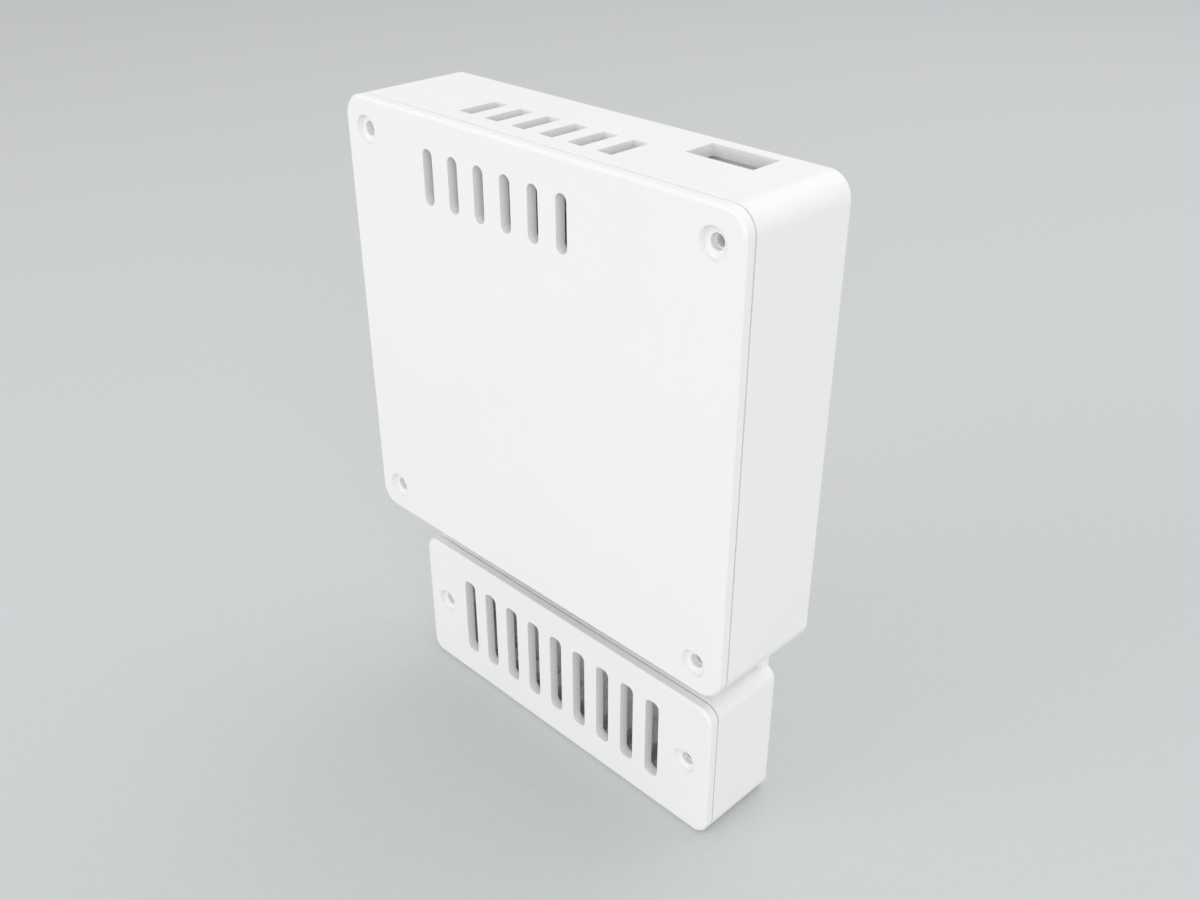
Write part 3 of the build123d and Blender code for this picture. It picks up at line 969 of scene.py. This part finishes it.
        floor_slots = [(x, lower_low.z + half_wall) for x in row(sizes.lower_slot_count, sizes.slot_pitch)]
        made += self.through(self.floor_slot, (lower_high.y + self.inner_back_y) / 2, floor_slots)

        hole_y = self.inner_back_y - self.wire_hole_from_wall - self.wire_hole[1] / 2
        wire_holes = [(0, main_low.z + half_wall), (0, lower_high.z - half_wall)]
        return made + self.through(self.wire_hole, hole_y, wire_holes)

    def outer_test(self) -> Test:
        """Picks the edges outside: round the back, along the seams, and round the openings.

        Returns:
            The test.
        """
        tests = [edge_at(Axis.Y, self.back_y)]
        for low, high in (self.main, self.lower):
            tests += [edge_at(Axis.Y, high.y + self.sizes.seam_gap), edge_at(Axis.Z, low.z),
                      edge_at(Axis.Z, high.z)]
        return lambda middle, way: any(test(middle, way) for test in tests)

    def build(self) -> Piece:
        """Models the shell from its two trays.

        Returns:
            The shell, not dressed yet.
        """
        sizes = self.sizes
        shell = self.tray("case_" + self.node, self.main, sizes.main_corner)
        shell.combine(Combine.JOIN, [self.tray("lower_tray", self.lower, sizes.lower_corner)])

        width, depth, height = self.rib
        floor_z = self.lower[0].z + sizes.wall
        rib = Piece.block("rib", (-width / 2, self.inner_back_y - depth, floor_z - sizes.root),
                          (width / 2, self.inner_back_y + sizes.root, floor_z + height))
        main_screws = sizes.main_screws(*self.main)
        lower_screws = sizes.lower_screws(*self.lower)
        posts, holes = self.standoffs("board_screws", "controller_board")
        small_posts, small_holes = self.standoffs("sensor_board_screws", "sensor_board")
        shell.combine(Combine.JOIN, self.pillars(self.main, main_screws, in_corners=True))
        shell.combine(Combine.JOIN, self.pillars(self.lower, lower_screws, in_corners=False))
        shell.combine(Combine.JOIN, [*posts, *small_posts, rib])
        cutters = self.pilots(self.main[1].y, self.pilot_depth, main_screws)
        cutters += self.pilots(self.lower[1].y, self.pilot_depth, lower_screws)
        shell.combine(Combine.CUT, cutters + holes + small_holes + self.openings())
        shell.tidy()
        shell.soften(sizes.soft_edge, self.outer_test())

        half, deep = self.bridge_width / 2, self.bridge_root
        bridge = Piece.block("bridge", (-half, self.inner_back_y, self.lower[1].z - deep),
                             (half, self.back_y, self.main[0].z + deep))
        bridge.round_edges(sizes.soft_edge, along(Axis.Z), SOFT_STEPS)
        shell.combine(Combine.JOIN, [bridge])
        shell.tidy()
        shell.shade()
        return shell

    def dress(self, finish: Finish) -> None:
        """Builds the shell and gives it its finish."""
        self.build().dress(finish, "shell_plastic", self.node)


@dataclass
class Case:
    """The case: the shell and its two covers."""

    sizes: CaseSizes = CaseSizes()
    # Sintered nylon, vapour-smoothed: an even white with soft highlights and a fine tooth close up
    finish: Finish = SatinPlastic("white_sintered_nylon", "#F3F3F3", "#EFEFEF", roughness=0.48,
                                  grain=0.45, grain_depth=0.015)
    main_slot: Slot = Slot(width=3.0, length=12.0, corner=1.49)
    main_slot_count: int = 6
    main_slots_x: float = -8.0
    main_slots_drop: float = 13.0
    lower_slot: Slot = Slot(width=4.0, length=22.0, corner=1.5)

    def build(self) -> None:
        """Builds and dresses the shell and both covers."""
        sizes = self.sizes
        main, lower = box_of("main_cover"), box_of("lower_cover")
        row_z = main[1].z - self.main_slots_drop
        slots = [(x, row_z) for x in row(self.main_slot_count, sizes.slot_pitch, self.main_slots_x)]
        Cover(sizes, "main_cover", main, sizes.main_corner, sizes.main_screws(*main),
              self.main_slot, slots).dress(self.finish)
        row_z = lower[0].z + sizes.lower_screw_height
        slots = [(x, row_z) for x in row(sizes.lower_slot_count, sizes.slot_pitch)]
        Cover(sizes, "lower_cover", lower, sizes.lower_corner, sizes.lower_screws(*lower),
              self.lower_slot, slots).dress(self.finish)
        RearShell(sizes, main, lower).dress(self.finish)


@dataclass
class Electronics:
    """What the case holds: shapes carried over from the frame, which get their finishes here."""

    screw_head_radius: float = 2.8
    diode_reach: float = 4.2
    diode_body: float = 2.6
    diode_mark: tuple[float, float] = (1.2, 1.9)
    regulator_tab: float = 4.5
    regulator_leads: float = 2.0
    resistor_length: float = 2.0
    resistor_end: float = 0.35
    tinned: str = "#C9C8C2"
    epoxy: str = "#1C1C1E"
    silver_mark: str = "#C4C6C8"

    def finishes(self) -> dict[str, Finish]:
        """Works out the finish of every carried-over node.

        Returns:
            Finishes by node name.
        """
        # Rolled threads and pressed recesses under bright zinc: blue-white, with a soft sheen
        steel = DrawnMetal("zinc_plated_steel", "#CDD0D4", "#B4B8BE", along=Axis.Y)
        # Stamped brass, tinned: warm white and a little duller than zinc
        tin = DrawnMetal("tinned_brass", "#CFCFCB", "#B8B8B4", roughness=0.32)
        # Drawn brass wire under thin gold: yellow and bright
        gold = DrawnMetal("flash_gold_brass", "#D8B25A", "#BC9646", roughness=0.24, along=Axis.Y)
        # Deep-drawn nickel silver: neutral and smooth
        nickel = DrawnMetal("nickel_silver", "#CBCAC6", "#B9B8B3", roughness=0.22)
        # Extruded aluminium, bare: pale grey, with lines along the fins
        aluminium = DrawnMetal("extruded_aluminium", "#C6C8CB", "#B3B6BA", roughness=0.36, along=Axis.Z)
        # Turned and polished stainless steel: bright, with a faint haze
        stainless = DrawnMetal("polished_stainless", "#D2D3D4", "#BEBFC1", roughness=0.2, stretch=4.0)
        # Glass-filled nylon, moulded: deep grey-black and dull
        black = SatinPlastic("black_glass_filled_nylon", "#222326", "#18191B", roughness=0.5)
        # Natural nylon, moulded: cream and slightly waxy
        cream = SatinPlastic("natural_nylon", "#EDE6D3", "#E2DAC4", roughness=0.4)
        # Polyester, moulded smooth: strong blue with a clear sheen
        blue = SatinPlastic("blue_polyester", "#2456A6", "#1E4B94", roughness=0.3)
        # Polyamide, moulded: mid green and satin
        green = SatinPlastic("green_polyamide", "#3E8F55", "#34804A", roughness=0.45)
        # Shrunk vinyl sleeve: glossy dark blue
        sleeve = SatinPlastic("shrunk_vinyl_sleeve", "#1E2E55", "#182647", roughness=0.25)
        # Glazed ceramic, pressed and fired: off-white under a hard gloss
        ceramic = SatinPlastic("glazed_ceramic", "#F0ECE2", "#E6E1D5", roughness=0.18, ior=1.6)
        # Filled epoxy, transfer-moulded: black and matt
        epoxy = SatinPlastic("moulded_epoxy", "#26272A", "#1D1E20", roughness=0.58, grain=0.15)
        # Liquid-crystal polymer, moulded: white and matt
        cap = SatinPlastic("white_crystal_polymer", "#E9E9E6", "#DFDFDC", roughness=0.5)
        return {
            "controller_board": self.board("solder_mask_large_board", "board_screws"),
            "sensor_board": self.board("solder_mask_small_board", "sensor_board_screws"),
            "board_screws": steel, "sensor_board_screws": steel, "regulator_screw": steel,
            "terminal_screws": steel, "terminal_clamps": tin, "terminal_body": green,
            "relay_left": blue, "relay_right": blue, "relay_diodes": self.diodes(),
            "heatsink": aluminium, "regulator": self.regulator(), "supply_capacitors": sleeve,
            "fuse_tube": ceramic, "fuse_caps": nickel, "fuse_clips": tin,
            "processor": epoxy, "processor_leads": tin, "crystal": nickel,
            "chip_resistors": self.resistors(), "cell_holder": black, "backup_cell": stainless,
            "cell_strap": tin, "main_header": cream, "sensor_header": cream, "program_header": black,
            "main_header_pins": tin, "sensor_header_pins": tin, "program_pins": gold, "air_sensor": cap,
        }

    def board(self, name: str, screws: str) -> CircuitBoard:
        """Works out a board's finish from the places of its screws.

        Args:
            name: The material's name.
            screws: The node of the board's screws.

        Returns:
            The board's finish.
        """
        low, high = box_of(screws)
        head = self.screw_head_radius
        middle = ((low.x + high.x) / 2, (low.z + high.z) / 2)
        hole = ((high.x - low.x) / 2 - head, (high.z - low.z) / 2 - head)
        return CircuitBoard(name, middle, hole)

    def lead(self, start: float, roughness: float = 0.3) -> Band:
        """A band of tinned copper."""
        return Band(start, self.tinned, 1.0, roughness)

    def diodes(self) -> Banded:
        """Black bodies with a silver mark, between tinned leads.

        Returns:
            The diodes' finish, banded along X.
        """
        low, high = box_of("relay_diodes")
        reach, body = self.diode_reach, self.diode_body
        mark, mark_end = self.diode_mark
        bands = []
        for centre in (low.x + reach, high.x - reach):
            bands += [self.lead(centre - reach - OVERSHOOT / 2), Band(centre - body, self.epoxy),
                      Band(centre + mark, self.silver_mark), Band(centre + mark_end, self.epoxy),
                      self.lead(centre + body)]
        return Banded("diode_epoxy_and_leads", tuple(bands))

    def regulator(self) -> Banded:
        """A black body between its tinned tab and its leads.

        Returns:
            The regulator's finish, banded along Y.
        """
        low, high = box_of("regulator")
        bands = (self.lead(low.y - OVERSHOOT, roughness=0.35),
                 Band(low.y + self.regulator_tab, self.epoxy, roughness=0.5),
                 self.lead(high.y - self.regulator_leads))
        return Banded("regulator_epoxy_and_tab", bands, Axis.Y)

    def resistors(self) -> Banded:
        """Dark bodies with tinned ends, in two columns.

        Returns:
            The resistors' finish, banded along X.
        """
        low, high = box_of("chip_resistors")
        length, end = self.resistor_length, self.resistor_end
        bands = []
        for left in (low.x, high.x - length):
            bands += [self.lead(left - OVERSHOOT / 2, roughness=0.35),
                      Band(left + end, self.epoxy, roughness=0.45),
                      self.lead(left + length - end, roughness=0.35)]
        return Banded("resistor_film_and_tin", tuple(bands))

    def dress(self) -> None:
        """Gives every carried-over node its finish."""
        for node, finish in self.finishes().items():
            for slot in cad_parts[node].material_slots:
                slot.material = finish.material()
            log.info("%s: finished as %s", node, finish.name)


@dataclass(frozen=True)
class Lamp:
    """A square soft lamp that faces the case."""

    name: str
    place: tuple[float, float, float]
    size: float
    watts: float


@dataclass
class Studio:
    """The camera, the floor and the light."""

    target: tuple[float, float, float] = (2.81, 4.9, 78.56)
    distance: float = 280.0
    azimuth: float = 45.0
    elevation: float = 30.0
    lens: float = 37.09
    sensor: float = 36.0
    near_limit: float = 1.0
    floor_size: float = 12000.0
    surround: str = "#CBCDCE"
    sky_strength: float = 0.81
    lamp_spread: float = 120.0
    lamps: tuple[Lamp, ...] = (
        Lamp("key_softbox", (-450.0, -1000.0, 500.0), 800.0, 1.35),
        Lamp("side_softbox", (900.0, -700.0, 450.0), 800.0, 1.71),
        Lamp("back_softbox", (100.0, 900.0, 1000.0), 1400.0, 2.2),
    )

    def camera(self) -> None:
        """Places the camera on the photograph's line of sight."""
        turn, rise = math.radians(self.azimuth), math.radians(self.elevation)
        back = Vector((math.sin(turn) * math.cos(rise), -math.cos(turn) * math.cos(rise), math.sin(rise)))
        place = (Vector(self.target) + back * self.distance) * MM
        bpy.ops.object.camera_add(location=place, rotation=(-back).to_track_quat("-Z", "Y").to_euler())
        camera = bpy.context.active_object
        camera.name = "photo_camera"
        camera.data.lens = self.lens
        camera.data.sensor_width = self.sensor
        camera.data.clip_start = self.near_limit * MM
        bpy.context.scene.camera = camera

    def floor(self) -> None:
        """Lays the paper that the case stands on."""
        bpy.ops.mesh.primitive_plane_add(size=self.floor_size * MM)
        floor = bpy.context.active_object
        floor.name = "studio_floor"
        floor.data.materials.append(StudioPaper("seamless_paper").material())

    def light(self) -> None:
        """Hangs the lamps, which aren't seen, and whose grids keep bright pools off the floor."""
        middle = Vector(self.target) * MM
        for lamp in self.lamps:
            place = Vector(lamp.place) * MM
            facing = (middle - place).to_track_quat("-Z", "Y").to_euler()
            bpy.ops.object.light_add(type="AREA", location=place, rotation=facing)
            light = bpy.context.active_object
            light.name = lamp.name
            light.data.size = lamp.size * MM
            light.data.spread = math.radians(self.lamp_spread)
            light.data.energy = lamp.watts
            light.visible_camera = False

    def sky(self) -> None:
        """Gives the world its even light, and the floor's own tone where it is looked at or mirrored."""
        world = bpy.data.worlds.new("studio_sky")
        bpy.context.scene.world = world
        world.use_nodes = True
        tree = world.node_tree
        tree.nodes.clear()
        even = add_node(tree, "Background", {"Color": grey(1.0), "Strength": self.sky_strength})
        seen = add_node(tree, "Background", {"Color": srgb(self.surround)})
        path = add_node(tree, "LightPath").outputs
        looked_at = path["Is Camera Ray"]
        for ray in ("Is Glossy Ray", "Is Transmission Ray"):
            looked_at = add_node(tree, "Math", {"operation": "MAXIMUM"},
                                 {0: looked_at, 1: path[ray]}).outputs[0]
        sky = add_node(tree, "MixShader", links={0: looked_at, 1: even.outputs[0], 2: seen.outputs[0]})
        add_node(tree, "OutputWorld", links={"Surface": sky.outputs[0]})

    def build(self) -> None:
        """Sets up the camera, the floor, the lamps and the sky."""
        bpy.context.scene.view_settings.view_transform = "Standard"
        self.camera()
        self.floor()
        self.light()
        self.sky()
        log.info("studio: %d lamps over a pale floor", len(self.lamps))


def main() -> None:
    """Builds the studio, the case and what it holds."""
    logging.basicConfig(level=logging.INFO, format="%(name)s %(message)s")
    Studio().build()
    Case().build()
    Electronics().dress()
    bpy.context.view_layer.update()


if __name__ == "__main__":
    main()
